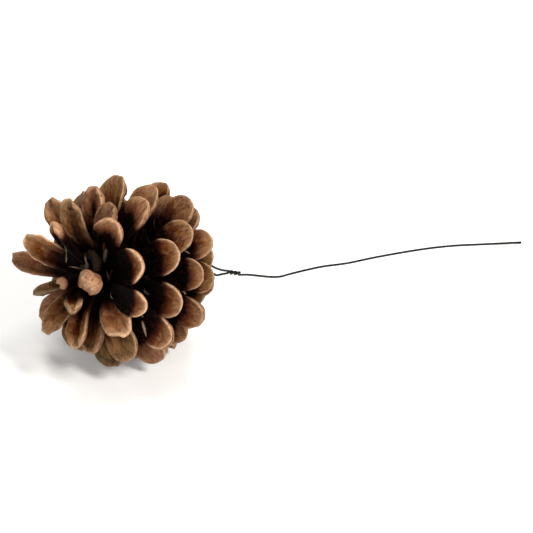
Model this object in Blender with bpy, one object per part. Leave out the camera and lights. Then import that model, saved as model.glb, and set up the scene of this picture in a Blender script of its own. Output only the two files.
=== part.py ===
"""A wired pine cone lying on its side.

The open cone is one woody body: a tapering axis with its stalk, and scales set round it on a golden-angle
spiral. It lies on a few of its scales. A stem wire is hooked round the stalk under the lowest scales, twisted
on itself, and runs out as a long bent tail whose cut end comes down to the surface.
"""

import math
import random

import bmesh
import bpy
from mathutils import Matrix, Vector

MM = 0.001

# Where the scale tips lie: (scale number, height up the axis, radius), in mm. Number 0 is at the base.
ENVELOPE = [(0, 2.2, 6.5), (8, 4.6, 12.5), (13, 6.4, 18.0), (18, 8.4, 22.5), (32, 13.2, 26.1), (47, 21.6, 28.5),
            (62, 34.2, 27.6), (77, 49.5, 21.0), (86, 57.5, 16.0), (87, 41.5, 7.0), (95, 40.0, 2.5)]
SCALE_COUNT = 96

# Each scale is turned by the golden angle from the one below it, in degrees, with a little seeded disorder.
GOLDEN_ANGLE = -137.83
SPIRAL_START = 2.6
TURN_DISORDER = 3.0
RISE_DISORDER = 0.5
ROLL_DISORDER = 7.0
WIDTH_DISORDER = 0.06
disorder = random.Random(11)

# Scales that stand out of the spiral's rule, as in a dried cone: number: (turn in degrees, rise, reach in mm).
LEANING = {
    8: (1, 0.1, -0.2), 16: (-2, 0.5, -2.2), 21: (-1, 0.6, -0.8), 26: (4, -0.9, 0), 28: (-1, 0, -3.1),
    29: (0, 1.2, -2.2), 31: (-2, -2.2, 1.1), 33: (-5, -4.2, -0.6), 34: (0, -0.5, 0.2), 36: (-3, -2.9, 0.1),
    37: (3, 0.7, -1.8), 39: (0, -1.4, 0.8), 41: (-4, 0.2, -2.9), 42: (0, 1.7, -1.8), 44: (-4, -2.5, 0.5),
    45: (-1, -0.3, -1), 47: (4, 0.5, -1.4), 49: (0, -0.5, 0.6), 50: (4, -3.6, -0.7), 52: (5, -1.8, 1.2),
    53: (0, 0, 1.2), 54: (-1, -0.8, 0.4), 55: (4, -3.5, 1.5), 57: (7, -0.3, 2.4), 58: (2, -1.1, 0.1),
    60: (-4, 1.8, -0.4), 61: (0, 0, -4), 62: (-5, 0.7, -4.4), 63: (3, -3.4, -0.1), 65: (-7, -2.1, 0.5),
    66: (2, -1.1, 0), 67: (-7, -4.7, 0.6), 68: (-1, -1.8, 1.7), 69: (-2, -1.9, -3.4), 70: (-4, -2.8, 0.5),
    71: (5, -3.5, -0.8), 72: (-8, -1.4, 3.3), 73: (3, 3.6, -2.3), 74: (3, -1.1, 0.2), 75: (1, -0.1, 1.9),
    76: (-3, 1.4, 1), 77: (3, 3.1, 1.2), 79: (-1, -0.9, -1.9), 81: (0, 0.6, -0.5), 82: (6, -4.4, -2.3),
    83: (6, 0.3, 1.9), 85: (-7, -2.9, -0.4), 86: (-3, -0.1, 0.3),
}
# Scales that drying has twisted: number: (roll in degrees, width and thickness as shares of the rule's).
TWISTED = {
    3: (0, 1.5, 1.3), 8: (0, 1.6, 1.3), 31: (0, 0.87, 1), 33: (30, 0.9, 1), 41: (25, 0.85, 1),
    42: (-20, 1, 1), 44: (0, 0.93, 1), 49: (25, 0.85, 1), 50: (-15, 1.2, 1), 54: (10, 1, 1),
    55: (-10, 1, 1), 57: (5, 1, 1), 58: (-20, 1.1, 1), 60: (0, 0.85, 1), 62: (0, 1, 1), 63: (-20, 1, 1),
    66: (-25, 1, 1), 67: (25, 0.88, 1), 68: (-50, 1.05, 1), 69: (0, 0.8, 1), 70: (40, 1.1, 1),
    71: (-30, 1, 1), 72: (20, 1, 1), 73: (50, 0.9, 2), 74: (-15, 1.2, 1), 75: (45, 0.82, 1),
    76: (-50, 0.9, 1), 77: (0, 0.85, 1), 79: (-42, 0.92, 1), 81: (-90, 0.8, 1), 82: (30, 0.5, 1),
    83: (20, 0.75, 1), 85: (25, 1.3, 1), 86: (40, 0.7, 0.6),
}
BROKEN_OFF = (78, 80, 84)
STUB = 0.55

# How each scale is made, by its number: the lean of its chord from the axis (degrees), its width and
# thickness and how deep in the axis it is rooted (mm), how nearly parallel its sides are and its bow (shares).
LEAN = [(0, 104), (32, 100), (52, 90), (65, 80), (68, 75), (72, 58), (77, 50), (86, 34), (95, 14)]
WIDTH = [(0, 4.4), (8, 6.4), (18, 9.4), (32, 10.8), (65, 10.6), (68, 8.8), (77, 7.8), (86, 5.4), (95, 2.4)]
THICKNESS = [(0, 1.5), (32, 3.0), (68, 3.0), (86, 2.2), (95, 1.1)]
ROOT_RADIUS = [(0, 2.4), (60, 2.4), (77, 1.4), (95, 0.6)]
FINGER = [(0, 0.0), (57, 0.0), (67, 0.8), (72, 1.0), (95, 1.0)]
BOW = [(0, 0.06), (18, 0.12), (47, 0.17), (62, 0.17), (68, 0.10), (86, 0.08), (95, 0.05)]

# The form along a scale, by the share of its length from the root: width and depth as shares of the most.
SPREAD = [(0.0, 0.30), (0.3, 0.44), (0.55, 0.74), (0.78, 1.0)]
FINGER_SPREAD = [(0.0, 0.0), (0.3, 0.34), (0.55, 0.17), (0.78, 0.0)]
DEPTH = [(0.0, 0.9), (0.3, 0.55), (0.6, 0.55), (0.87, 1.0), (0.96, 0.95), (1.0, 0.7)]
TIP_START = 0.78
TIP_LENGTH = 0.238
TIP_BLUNTNESS = 2.6
FACE_SHARE = 0.28
DISH = 0.22

# Sides round a scale, and the shares of its length where its loops stand. Small scales get fewer.
SIDES = 8
STATIONS = (0.0, 0.3, 0.55, 0.74, 0.87, 0.96, 1.0)
SMALL_WIDTH = 7.5 * MM
SMALL_SIDES = 6
SMALL_STATIONS = (0.0, 0.4, 0.74, 0.92, 1.0)

# The axis with its stalk: (height, radius), in mm.
AXIS = [(-1.4, 1.9), (-1.0, 2.2), (1.6, 2.3), (3.2, 3.8), (6.0, 4.8), (30.0, 3.8), (38.0, 2.4)]
AXIS_SIDES = 12

# The lying pose: the apex points at -X, towards the front and a little up (degrees). The lowest scales are
# cut level by a little to make the flats that it lies on.
AXIS_HEADING = 27.4
AXIS_RISE = 12.2
FLAT_DEPTH = 1.3 * MM
SLAB_SIZE = 0.2

# Stem wire. Points are (right, back, up) in mm from the middle of the cone's base.
WIRE_RADIUS = 0.35 * MM
WIRE_RESOLUTION = 2
HOOK_RADIUS = 2.95 * MM
HOOK_HEIGHT = 0.4 * MM
HOOK_ARC = (-60, -240)
HOOK_STEPS = 10
UPPER_LEG = [(0.7, 2.0, 2.2), (1.7, 2.3, 1.0), (2.7, 1.9, -1.1), (3.6, 2.1, -2.1), (5.9, 2.0, -3.0)]
LOWER_LEG = [(1.8, -0.5, -3.1), (3.5, 0.9, -3.7), (4.2, 1.0, -4.2), (5.9, 1.7, -4.3)]
LEG_STEPS = 3
TWIST_START = (7.7, 2.0, -3.7)
TWIST_END = (11.3, 3.0, -5.0)
TWIST_TURNS = 1.5
TWIST_RADIUS = 0.4 * MM
TWIST_STEPS = 14
TAIL = [(13.5, 3.8, -5.9), (16.1, 4.7, -6.8), (20.3, 6.2, -8.3), (23.3, 7.5, -9.1), (26.3, 9.2, -9.3),
        (31.1, 11.9, -9.7), (36.5, 14.8, -10.3), (43.7, 18.3, -11.5), (50.9, 22.2, -12.3), (59.3, 26.6, -13.4),
        (67.7, 30.9, -14.7), (76.1, 34.9, -16.3), (86.3, 39.5, -18.8), (96.8, 44.2, -21.6)]
TAIL_STEPS = 4

WOOD = {"name": "wood", "colour": (0.30, 0.16, 0.08), "roughness": 0.75, "metallic": 0.0}
STEEL = {"name": "steel_wire", "colour": (0.09, 0.09, 0.085), "roughness": 0.45, "metallic": 0.9}


def along(knots, place):
    """The value at a place among (place, value) knots, by straight runs, held level past the ends."""
    for (before, low), (after, high) in zip(knots, knots[1:]):
        if place <= after:
            return low + (high - low) * max(place - before, 0.0) / (after - before)
    return knots[-1][1]


def new_mesh_object(name, points, faces):
    mesh = bpy.data.meshes.new(name)
    mesh.from_pydata(points, [], faces)
    mesh.update()
    body = bpy.data.objects.new(name, mesh)
    bpy.context.scene.collection.objects.link(body)
    return body


def skin_loops(loops):
    """Points and outward faces of a closed solid through a list of equal loops, with flat ends."""
    sides = len(loops[0])
    points = [point for loop in loops for point in loop]
    faces = [tuple(reversed(range(sides)))]
    for row in range(len(loops) - 1):
        for k in range(sides):
            here = row * sides + k
            beside = row * sides + (k + 1) % sides
            faces.append((here, beside, beside + sides, here + sides))
    last = (len(loops) - 1) * sides
    faces.append(tuple(range(last, last + sides)))
    return points, faces


def scale_plan(number):
    """The place and size of one scale in the cone's own frame, whose Z runs up the axis from the base."""
    drawn = (disorder.uniform(-1, 1) * TURN_DISORDER, disorder.uniform(-1, 1) * RISE_DISORDER, 0)
    swing, rise, reach = LEANING.get(number, drawn)
    roll, wider, thicker = TWISTED.get(number, (0, 1, 1))
    height = (along([(n, h) for n, h, r in ENVELOPE], number) + rise) * MM
    radius = (along([(n, r) for n, h, r in ENVELOPE], number) + reach) * MM
    root_radius = along(ROOT_RADIUS, number) * MM
    root_height = height - (radius - root_radius) / math.tan(math.radians(along(LEAN, number)))
    kept = STUB if number in BROKEN_OFF else 1.0
    return {
        "turn": math.radians(SPIRAL_START + GOLDEN_ANGLE * number + swing),
        "root": (root_radius, root_height),
        "tip": (root_radius + (radius - root_radius) * kept, root_height + (height - root_height) * kept),
        "width": along(WIDTH, number) * MM * (1 + disorder.uniform(-1, 1) * WIDTH_DISORDER) * wider,
        "thick": along(THICKNESS, number) * MM * thicker,
        "finger": along(FINGER, number),
        "bow": along(BOW, number),
        "roll": math.radians(disorder.uniform(-1, 1) * ROLL_DISORDER + roll),
    }


def scale_section(share, plan, sides):
    """The loop across a scale at a share of its length: (across, up) pairs, dished above and keeled below."""
    if share < TIP_START:
        spread = along(SPREAD, share) + plan["finger"] * along(FINGER_SPREAD, share)
    else:
        spread = math.sqrt(1 - ((share - TIP_START) / TIP_LENGTH) ** TIP_BLUNTNESS)
    depth = plan["thick"] * along(DEPTH, share)
    half = plan["width"] / 2 * spread
    loop = []
    for k in range(sides):
        angle = 2 * math.pi * (k + 0.5) / sides
        across = math.cos(angle)
        above = FACE_SHARE if math.sin(angle) > 0 else 1 - FACE_SHARE
        loop.append((half * across, depth * above * math.sin(angle) + DISH * half * (across**2 - 0.5)))
    return loop


def scale_solid(number):
    """One scale: loops set along a curve that leaves the axis steeply and bends out towards the tip."""
    plan = scale_plan(number)
    outward = Vector((math.cos(plan["turn"]), math.sin(plan["turn"]), 0))
    upward = Vector((0, 0, 1))
    sideways = upward.cross(outward)
    start = outward * plan["root"][0] + upward * plan["root"][1]
    end = outward * plan["tip"][0] + upward * plan["tip"][1]
    middle = (start + end) / 2 - sideways.cross(end - start) * 2 * plan["bow"]
    small = plan["width"] < SMALL_WIDTH
    sides = SMALL_SIDES if small else SIDES
    loops = []
    for share in SMALL_STATIONS if small else STATIONS:
        centre = start * (1 - share) ** 2 + middle * 2 * share * (1 - share) + end * share**2
        forward = ((middle - start) * (1 - share) + (end - middle) * share).normalized()
        side = Matrix.Rotation(plan["roll"] * share, 3, forward) @ sideways
        normal = forward.cross(side)
        loops.append([centre + side * a + normal * b for a, b in scale_section(share, plan, sides)])
    return new_mesh_object(f"scale_{number}", *skin_loops(loops))


def axis_solid():
    loops = []
    for height, radius in AXIS:
        angles = [2 * math.pi * k / AXIS_SIDES for k in range(AXIS_SIDES)]
        loops.append([Vector((radius * math.cos(a), radius * math.sin(a), height)) * MM for a in angles])
    return new_mesh_object("cone", *skin_loops(loops))


def lying_frame():
    """The turn from the cone's own frame to the world: Z goes to the axis, and Y stays as upright as it can."""
    heading, rise = math.radians(AXIS_HEADING), math.radians(AXIS_RISE)
    axis = Vector((-math.cos(rise) * math.cos(heading), -math.cos(rise) * math.sin(heading), math.sin(rise)))
    upward = (Vector((0, 0, 1)) - axis * axis.z).normalized()
    facing = upward.cross(axis)
    return Matrix((facing, upward, axis)).transposed()


def apply_modifiers(body):
    bpy.context.view_layer.update()
    body_now = body.evaluated_get(bpy.context.evaluated_depsgraph_get())
    mesh = bpy.data.meshes.new_from_object(body_now)
    body.modifiers.clear()
    body.data = mesh


def fused_cone(frame):
    """The axis and all its scales joined into one solid, turned into the lying pose."""
    cone = axis_solid()
    scales = bpy.data.collections.new("scales")
    bpy.context.scene.collection.children.link(scales)
    for number in range(SCALE_COUNT):
        scale = scale_solid(number)
        bpy.context.scene.collection.objects.unlink(scale)
        scales.objects.link(scale)
    join = cone.modifiers.new("join", "BOOLEAN")
    join.operation = "UNION"
    join.operand_type = "COLLECTION"
    join.collection = scales
    join.solver = "EXACT"
    apply_modifiers(cone)
    for scale in list(scales.objects):
        bpy.data.objects.remove(scale, do_unlink=True)
    bpy.data.collections.remove(scales)
    cone.data.transform(frame.to_4x4())
    return cone


def cut_flats(cone):
    """Cut the lowest scales level, so that the cone lies on small flats. Returns the height of the cut."""
    floor = min(vertex.co.z for vertex in cone.data.vertices) + FLAT_DEPTH
    reach = SLAB_SIZE / 2
    square = ((-reach, -reach), (reach, -reach), (reach, reach), (-reach, reach))
    loops = [[Vector((x, y, z)) for x, y in square] for z in (floor - SLAB_SIZE, floor)]
    slab = new_mesh_object("slab", *skin_loops(loops))
    cut = cone.modifiers.new("cut", "BOOLEAN")
    cut.operation = "DIFFERENCE"
    cut.object = slab
    cut.solver = "EXACT"
    apply_modifiers(cone)
    bpy.data.objects.remove(slab, do_unlink=True)
    return floor


def shell_volume(faces):
    volume = 0.0
    for face in faces:
        first = face.verts[0].co
        for one, two in zip(face.verts[1:], face.verts[2:]):
            volume += first.dot(one.co.cross(two.co)) / 6
    return volume


def joined_faces(seed, unseen):
    """All the faces that hang together with a seed face by their edges, taken out of the unseen set."""
    shell, waiting = [seed], [seed]
    while waiting:
        for edge in waiting.pop().edges:
            for face in edge.link_faces:
                if face in unseen:
                    unseen.remove(face)
                    shell.append(face)
                    waiting.append(face)
    return shell


def keep_outer_shell(cone):
    """Fill sealed hollows and drop loose scraps: only the shell with the largest volume stays."""
    work = bmesh.new()
    work.from_mesh(cone.data)
    unseen = set(work.faces)
    shells = []
    while unseen:
        shells.append(joined_faces(unseen.pop(), unseen))
    shells.sort(key=shell_volume)
    scraps = [face for shell in shells[:-1] for face in shell]
    bmesh.ops.delete(work, geom=scraps, context="FACES")
    work.to_mesh(cone.data)
    work.free()


def smooth_run(points, steps):
    """A Catmull-Rom run through points, with a number of steps between each two."""
    padded = [points[0] * 2 - points[1], *points, points[-1] * 2 - points[-2]]
    run = []
    for a, b, c, d in zip(padded, padded[1:], padded[2:], padded[3:]):
        for step in range(steps):
            t = step / steps
            bend = (2 * a - 5 * b + 4 * c - d) * t**2 + (3 * (b - c) + d - a) * t**3
            run.append((2 * b + (c - a) * t + bend) / 2)
    return [*run, points[-1]]


def twisted_strand(phase):
    """One of two strands wound round each other, from the eye outwards."""
    start, end = Vector(TWIST_START) * MM, Vector(TWIST_END) * MM
    forward = (end - start).normalized()
    upward = (Vector((0, 0, 1)) - forward * forward.z).normalized()
    sideways = forward.cross(upward)
    strand = []
    for step in range(TWIST_STEPS + 1):
        share = step / TWIST_STEPS
        angle = phase + 2 * math.pi * TWIST_TURNS * share
        offset = (upward * math.cos(angle) + sideways * math.sin(angle)) * TWIST_RADIUS
        strand.append(start.lerp(end, share) + offset)
    return strand


def hook_round_stalk(frame):
    first, last = HOOK_ARC
    hook = []
    for step in range(HOOK_STEPS + 1):
        angle = math.radians(first + (last - first) * step / HOOK_STEPS)
        place = Vector((HOOK_RADIUS * math.cos(angle), HOOK_RADIUS * math.sin(angle), HOOK_HEIGHT))
        hook.append(frame @ place)
    return hook


def wire_run(frame, floor):
    """The middle line of the wire, from the short end of the twist round the stalk to the tail's cut end."""
    short_strand = list(reversed(twisted_strand(math.pi)))
    long_strand = twisted_strand(0.0)
    lower = [Vector(point) * MM for point in reversed(LOWER_LEG)]
    upper = [Vector(point) * MM for point in UPPER_LEG]
    tail = [Vector(point) * MM for point in TAIL]
    tail[-1].z = floor + WIRE_RADIUS
    eye = [short_strand[-1], *lower, *hook_round_stalk(frame), *upper, long_strand[0]]
    tail = [long_strand[-1], *tail]
    return [*short_strand[:-1], *smooth_run(eye, LEG_STEPS), *long_strand[1:-1], *smooth_run(tail, TAIL_STEPS)]


def stem_wire(frame, floor):
    run = wire_run(frame, floor)
    curve = bpy.data.curves.new("wire", "CURVE")
    curve.dimensions = "3D"
    curve.bevel_depth = WIRE_RADIUS
    curve.bevel_resolution = WIRE_RESOLUTION
    curve.use_fill_caps = True
    spline = curve.splines.new("POLY")
    spline.points.add(len(run) - 1)
    for point, place in zip(spline.points, run):
        point.co = (*place, 1)
    wire = bpy.data.objects.new("wire", curve)
    bpy.context.scene.collection.objects.link(wire)
    return wire


def give_material(body, look):
    material = bpy.data.materials.new(look["name"])
    material.use_nodes = True
    shader = material.node_tree.nodes["Principled BSDF"]
    shader.inputs["Base Color"].default_value = (*look["colour"], 1)
    shader.inputs["Roughness"].default_value = look["roughness"]
    shader.inputs["Metallic"].default_value = look["metallic"]
    body.data.materials.append(material)


def set_down(bodies, floor):
    """Set the pieces on the ground, with the middle of their shared box over the origin."""
    bpy.context.view_layer.update()
    corners = [Vector(corner) for body in bodies for corner in body.bound_box]
    middle_x = (min(c.x for c in corners) + max(c.x for c in corners)) / 2
    middle_y = (min(c.y for c in corners) + max(c.y for c in corners)) / 2
    for body in bodies:
        body.location = (-middle_x, -middle_y, -floor)


def clear_scene():
    for item in list(bpy.data.objects):
        bpy.data.objects.remove(item, do_unlink=True)


clear_scene()
frame = lying_frame()
cone = fused_cone(frame)
floor = cut_flats(cone)
keep_outer_shell(cone)
wire = stem_wire(frame, floor)
give_material(cone, WOOD)
give_material(wire, STEEL)
set_down([cone, wire], floor)
print("the middle of the cone's base is at", [round(value / MM, 2) for value in cone.location], "mm")
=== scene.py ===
import math
import random

import bpy
import numpy as np
from mathutils import Matrix, Vector


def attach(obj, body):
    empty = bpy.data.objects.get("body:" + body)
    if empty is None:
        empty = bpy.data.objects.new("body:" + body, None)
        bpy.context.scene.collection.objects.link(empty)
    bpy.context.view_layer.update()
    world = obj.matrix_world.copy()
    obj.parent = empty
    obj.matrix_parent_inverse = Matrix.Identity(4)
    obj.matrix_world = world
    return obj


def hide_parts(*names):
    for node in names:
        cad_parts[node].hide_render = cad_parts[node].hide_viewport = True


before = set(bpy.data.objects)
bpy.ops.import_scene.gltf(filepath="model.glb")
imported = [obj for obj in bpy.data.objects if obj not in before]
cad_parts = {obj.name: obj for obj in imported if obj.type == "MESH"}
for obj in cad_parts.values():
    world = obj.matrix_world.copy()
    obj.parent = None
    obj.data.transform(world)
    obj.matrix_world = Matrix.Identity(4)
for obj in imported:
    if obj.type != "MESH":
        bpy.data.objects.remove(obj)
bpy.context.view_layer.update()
mm = 0.001
print("stage: frame loaded")


# small helpers

def paint(red, green, blue):
    # a colour picked on screen, 0 to 255, as the linear colour that shaders want
    shares = [value / 255 for value in (red, green, blue)]
    return tuple(((v + 0.055) / 1.055) ** 2.4 if v > 0.04 else v / 12.92 for v in shares) + (1,)


def feed(tree, node, sockets):
    # a socket takes a plain value or another node's output
    for name, value in sockets.items():
        if isinstance(value, bpy.types.NodeSocket):
            tree.links.new(value, node.inputs[name])
        else:
            node.inputs[name].default_value = value
    return node


def addNode(tree, kind, sockets=None, **settings):
    # one shader node with its settings
    node = tree.nodes.new("ShaderNode" + kind)
    for key, value in settings.items():
        setattr(node, key, value)
    return feed(tree, node, sockets or {})


def mixColours(tree, factor, first, second, blend="MIX"):
    # first * (1 - factor) + second * factor, or the blend that is named
    node = addNode(tree, "Mix", {0: factor, 6: first, 7: second}, data_type="RGBA", blend_type=blend)
    return node.outputs[2]


def sums(tree, operation, first, second=0.0, third=0.0, clamped=False):
    # one sum on shader values; MULTIPLY_ADD is first * second + third
    node = addNode(tree, "Math", {0: first, 1: second, 2: third}, operation=operation, use_clamp=clamped)
    return node.outputs[0]


def times(tree, first, second, clamped=False):
    return sums(tree, "MULTIPLY", first, second, clamped=clamped)


def spread(tree, value, low, high, newLow=0.0, newHigh=1.0):
    # low..high stretched to newLow..newHigh, and held there past both ends
    node = addNode(tree, "MapRange", {0: value, 1: low, 2: high, 3: newLow, 4: newHigh}, clamp=True)
    return node.outputs[0]


def rampOf(tree, factor, stops):
    # straight runs between (place, colour) stops
    node = addNode(tree, "ValToRGB", {0: factor})
    marks = node.color_ramp.elements
    while len(marks) < len(stops):
        marks.new(0.5)
    for mark, (place, colour) in zip(marks, stops):
        mark.position = place
        mark.color = colour
    return node.outputs[0]


def stretched(tree, vector, by):
    return addNode(tree, "VectorMath", {0: vector, 1: by}, operation="MULTIPLY").outputs[0]


def noiseOf(tree, vector, scale, detail=2.0, roughness=0.5, distortion=0.0):
    sockets = {"Vector": vector, "Scale": scale, "Detail": detail, "Roughness": roughness,
               "Distortion": distortion}
    return addNode(tree, "TexNoise", sockets).outputs[0]


def patternOf(tree, vector, by, *settings):
    # noise on a vector that is stretched first: a larger number makes it finer in that direction
    return noiseOf(tree, stretched(tree, vector, by), *settings)


def bumpOf(tree, height, strength, distance):
    node = addNode(tree, "Bump", {"Strength": strength, "Distance": distance, "Height": height})
    return node.outputs[0]


def newGroup(name, takes, gives):
    # an empty group with inputs (name, kind, value) and outputs (name, kind)
    tree = bpy.data.node_groups.new(name, "ShaderNodeTree")
    for socketName, kind, value in takes:
        socket = tree.interface.new_socket(socketName, in_out="INPUT", socket_type="NodeSocket" + kind)
        if value is not None:
            socket.default_value = value
    for socketName, kind in gives:
        tree.interface.new_socket(socketName, in_out="OUTPUT", socket_type="NodeSocket" + kind)
    return tree, tree.nodes.new("NodeGroupInput").outputs, tree.nodes.new("NodeGroupOutput")


def placeGroup(tree, group, sockets):
    return addNode(tree, "Group", sockets, node_tree=group).outputs


def newMaterial(name, roughness=0.6, metallic=0.0, gloss=0.5):
    material = bpy.data.materials.new(name)
    material.use_nodes = True
    tree = material.node_tree
    shader = tree.nodes["Principled BSDF"]
    feed(tree, shader, {"Roughness": roughness, "Metallic": metallic, "Specular IOR Level": gloss})
    return material, tree, shader


def attributeOf(tree, name, output="Fac"):
    return addNode(tree, "Attribute", attribute_name=name).outputs[output]


def softSteps(u, v, seed):
    # seeded heights from -1 to 1 on a square lattice, blended both ways with 3t^2 - 2t^3
    size = 64
    table = np.random.default_rng(seed).uniform(-1, 1, (size, size))
    column, row = np.floor(u).astype(int), np.floor(v).astype(int)
    across, up = u - column, v - row
    across, up = across**2 * (3 - 2 * across), up**2 * (3 - 2 * up)
    left, right = column % size, (column + 1) % size
    below, above = row % size, (row + 1) % size
    low = table[left, below] * (1 - across) + table[right, below] * across
    high = table[left, above] * (1 - across) + table[right, above] * across
    return low * (1 - up) + high * up


def easeBetween(value, low, high):
    # 0 up to low, 1 from high on, and 3t^2 - 2t^3 on the way
    share = np.clip((value - low) / (high - low), 0, 1)
    return share**2 * (3 - 2 * share)


def knots(pairs, place):
    # straight runs between (place, value) pairs
    return np.interp(place, [p for p, v in pairs], [v for p, v in pairs])


def softKnots(pairs, place, reach=0.05):
    # the straight runs with their corners rounded: the mean of five readings about the place
    return sum(knots(pairs, place + reach * step) for step in (-1, -0.5, 0, 0.5, 1)) / 5


def closedPoints(grid):
    # the middle of the first row, the grid row by row, and the middle of the last row
    return np.concatenate([grid[0].mean(0)[None], grid.reshape(-1, 3), grid[-1].mean(0)[None]])


def closedFaces(rows, columns, first=0):
    # for such points, from number first on: quads that close round the columns, and a fan at either end
    ring = first + 1 + np.arange(columns)
    beside = np.roll(ring, -1)
    down = np.arange(rows - 1)[:, None] * columns
    quads = np.stack([ring + down, beside + down, beside + down + columns, ring + down + columns], -1)
    last = (rows - 1) * columns
    startFan = np.stack([beside, ring, np.full_like(ring, first)], -1)
    endFan = np.stack([ring + last, beside + last, np.full_like(ring, first + 1 + rows * columns)], -1)
    return quads.reshape(-1, 4), np.concatenate([startFan, endFan])


def buildMesh(name, places, quads, triangles, floats=None, vectors=None):
    # a smooth mesh from arrays of places and faces, with values and vectors kept at its points
    mesh = bpy.data.meshes.new(name)
    mesh.vertices.add(len(places))
    mesh.vertices.foreach_set("co", places.astype(np.float32).ravel())
    corners = np.concatenate([quads.ravel(), triangles.ravel()]).astype(np.int32)
    mesh.loops.add(len(corners))
    mesh.loops.foreach_set("vertex_index", corners)
    starts = np.concatenate([np.arange(len(quads)) * 4, len(quads) * 4 + np.arange(len(triangles)) * 3])
    mesh.polygons.add(len(starts))
    mesh.polygons.foreach_set("loop_start", starts.astype(np.int32))
    mesh.update(calc_edges=True)
    mesh.polygons.foreach_set("use_smooth", np.ones(len(starts), dtype=bool))
    for key, values in (floats or {}).items():
        data = mesh.attributes.new(key, "FLOAT", "POINT").data
        data.foreach_set("value", values.astype(np.float32).ravel())
    for key, values in (vectors or {}).items():
        data = mesh.attributes.new(key, "FLOAT_VECTOR", "POINT").data
        data.foreach_set("vector", values.astype(np.float32).ravel())
    mesh.update()
    piece = bpy.data.objects.new(name, mesh)
    bpy.context.scene.collection.objects.link(piece)
    return piece


# where the cone lies

lying = {
    "baseMiddle": (-20.07, -1.3, 21.68),  # mm, in the frame of the CAD
    "heading": 27.4,  # degrees, as the rise
    "rise": 12.2,
}


def coneFrame():
    # its axis from the heading and rise, the upward direction square to it, and the one square to both
    heading, rise = math.radians(lying["heading"]), math.radians(lying["rise"])
    axis = Vector((-math.cos(rise) * math.cos(heading), -math.cos(rise) * math.sin(heading), math.sin(rise)))
    upward = (Vector((0, 0, 1)) - axis * axis.z).normalized()
    return np.array(Matrix((upward.cross(axis), upward, axis)).transposed())


turned = coneFrame()
baseMiddle = np.array(lying["baseMiddle"])


def toWorld(points):
    # from mm in the cone's own frame, Z up its axis, to metres where it lies
    world = (points @ turned.T + baseMiddle) * mm
    world[..., 2] = np.maximum(world[..., 2], 0)
    return world


# camera, floor and light

view = {
    "elevation": 34,  # degrees
    "width": 159.9,  # mm across the picture at the cone
    "right": 19.26,  # mm from the middle of the cone's base to the middle of the picture
    "down": 0.3,
    "lens": 700,
    "sensor": 36,
    "clip": (0.05, 20),  # m
}


def placeCamera():
    # it stands back by width * lens / sensor from the point that it looks at
    camera = bpy.data.objects.new("camera", bpy.data.cameras.new("camera"))
    bpy.context.scene.collection.objects.link(camera)
    tilt = math.radians(view["elevation"])
    up = Vector((0, math.sin(tilt), math.cos(tilt)))
    back = Vector((0, -math.cos(tilt), math.sin(tilt)))
    target = Vector(baseMiddle) + Vector((1, 0, 0)) * view["right"] - up * view["down"]
    camera.data.lens = view["lens"]
    camera.data.sensor_width = view["sensor"]
    camera.location = (target + back * view["width"] * view["lens"] / view["sensor"]) * mm
    camera.rotation_euler = (math.radians(90) - tilt, 0, 0)
    camera.data.clip_start, camera.data.clip_end = view["clip"]
    bpy.context.scene.camera = camera


studio = {
    "lights": [  # name, place in m, size in m, power in W, colour
        ("keyLight", (0.40, -0.42, 0.60), 0.20, 6.2, (1.0, 0.97, 0.94)),
        ("frontLight", (-0.30, -0.75, 0.45), 0.35, 1.2, (1.0, 0.98, 0.96)),
        ("topLight", (0.0, 0.20, 0.80), 0.50, 5.0, (1.0, 0.99, 0.97)),
    ],
    "aim": (-0.03, -0.01, 0.02),  # m, the point that all lights look at
    "air": (1.0, 0.98, 0.95, 1),
    "airStrength": 0.22,
    "floor": paint(246, 246, 245),
    "floorPatch": paint(242, 242, 241),
    "floorRoughness": 0.9,
    "floorGlow": 0.16,
    "floorReach": 3.0,
}


def makeStudio():
    # round area lights aimed at the cone, an even air and a large pale floor
    scene = bpy.context.scene
    scene.view_settings.view_transform = "Standard"
    world = bpy.data.worlds.new("studio")
    world.use_nodes = True
    air = {"Color": studio["air"], "Strength": studio["airStrength"]}
    feed(world.node_tree, world.node_tree.nodes["Background"], air)
    scene.world = world
    for name, place, size, power, colour in studio["lights"]:
        light = bpy.data.lights.new(name, "AREA")
        light.shape = "DISK"
        light.size = size
        light.energy = power
        light.color = colour
        lamp = bpy.data.objects.new(name, light)
        lamp.location = place
        lamp.visible_camera = False
        aim = Vector(studio["aim"]) - Vector(place)
        lamp.rotation_euler = aim.to_track_quat("-Z", "Y").to_euler()
        scene.collection.objects.link(lamp)
    reach = studio["floorReach"]
    corners = np.array([(-reach, -reach, 0), (reach, -reach, 0), (reach, reach, 0), (-reach, reach, 0)])
    floor = buildMesh("floor", corners, np.array([[0, 1, 2, 3]]), np.zeros((0, 3), int))
    material, tree, shader = newMaterial("paleFloor", studio["floorRoughness"])
    patch = noiseOf(tree, addNode(tree, "TexCoord").outputs["Object"], 6.0, 3.0)
    feed(tree, shader, {"Base Color": mixColours(tree, patch, studio["floor"], studio["floorPatch"]),
                        "Emission Color": (1, 1, 1, 1), "Emission Strength": studio["floorGlow"]})
    floor.data.materials.append(material)


placeCamera()
makeStudio()
print("stage: camera, floor and light")


# shared shader groups

fibreForm = {
    # stretch (across, along, deep), scale, detail, roughness and distortion of each noise
    "streak": ((2.6, 0.22, 1.0), 1.0, 4.0, 0.6, 0.4),
    "thin": ((7.0, 0.5, 1.0), 1.0, 2.0, 0.5),
    "mottle": ((0.55, 0.38, 1.0), 1.0, 4.0, 0.6, 0.6),
    "grain": (5.0, 3.0, 0.6),
    "thinShare": 0.3,
    "poreScale": 0.9,
    "poreEdge": (0.05, 0.16),
    "poreWhere": (0.56, 0.66),  # only where the mottling is this strong
    "heights": (0.75, 0.35),  # of the fibres and the grain
}


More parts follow.
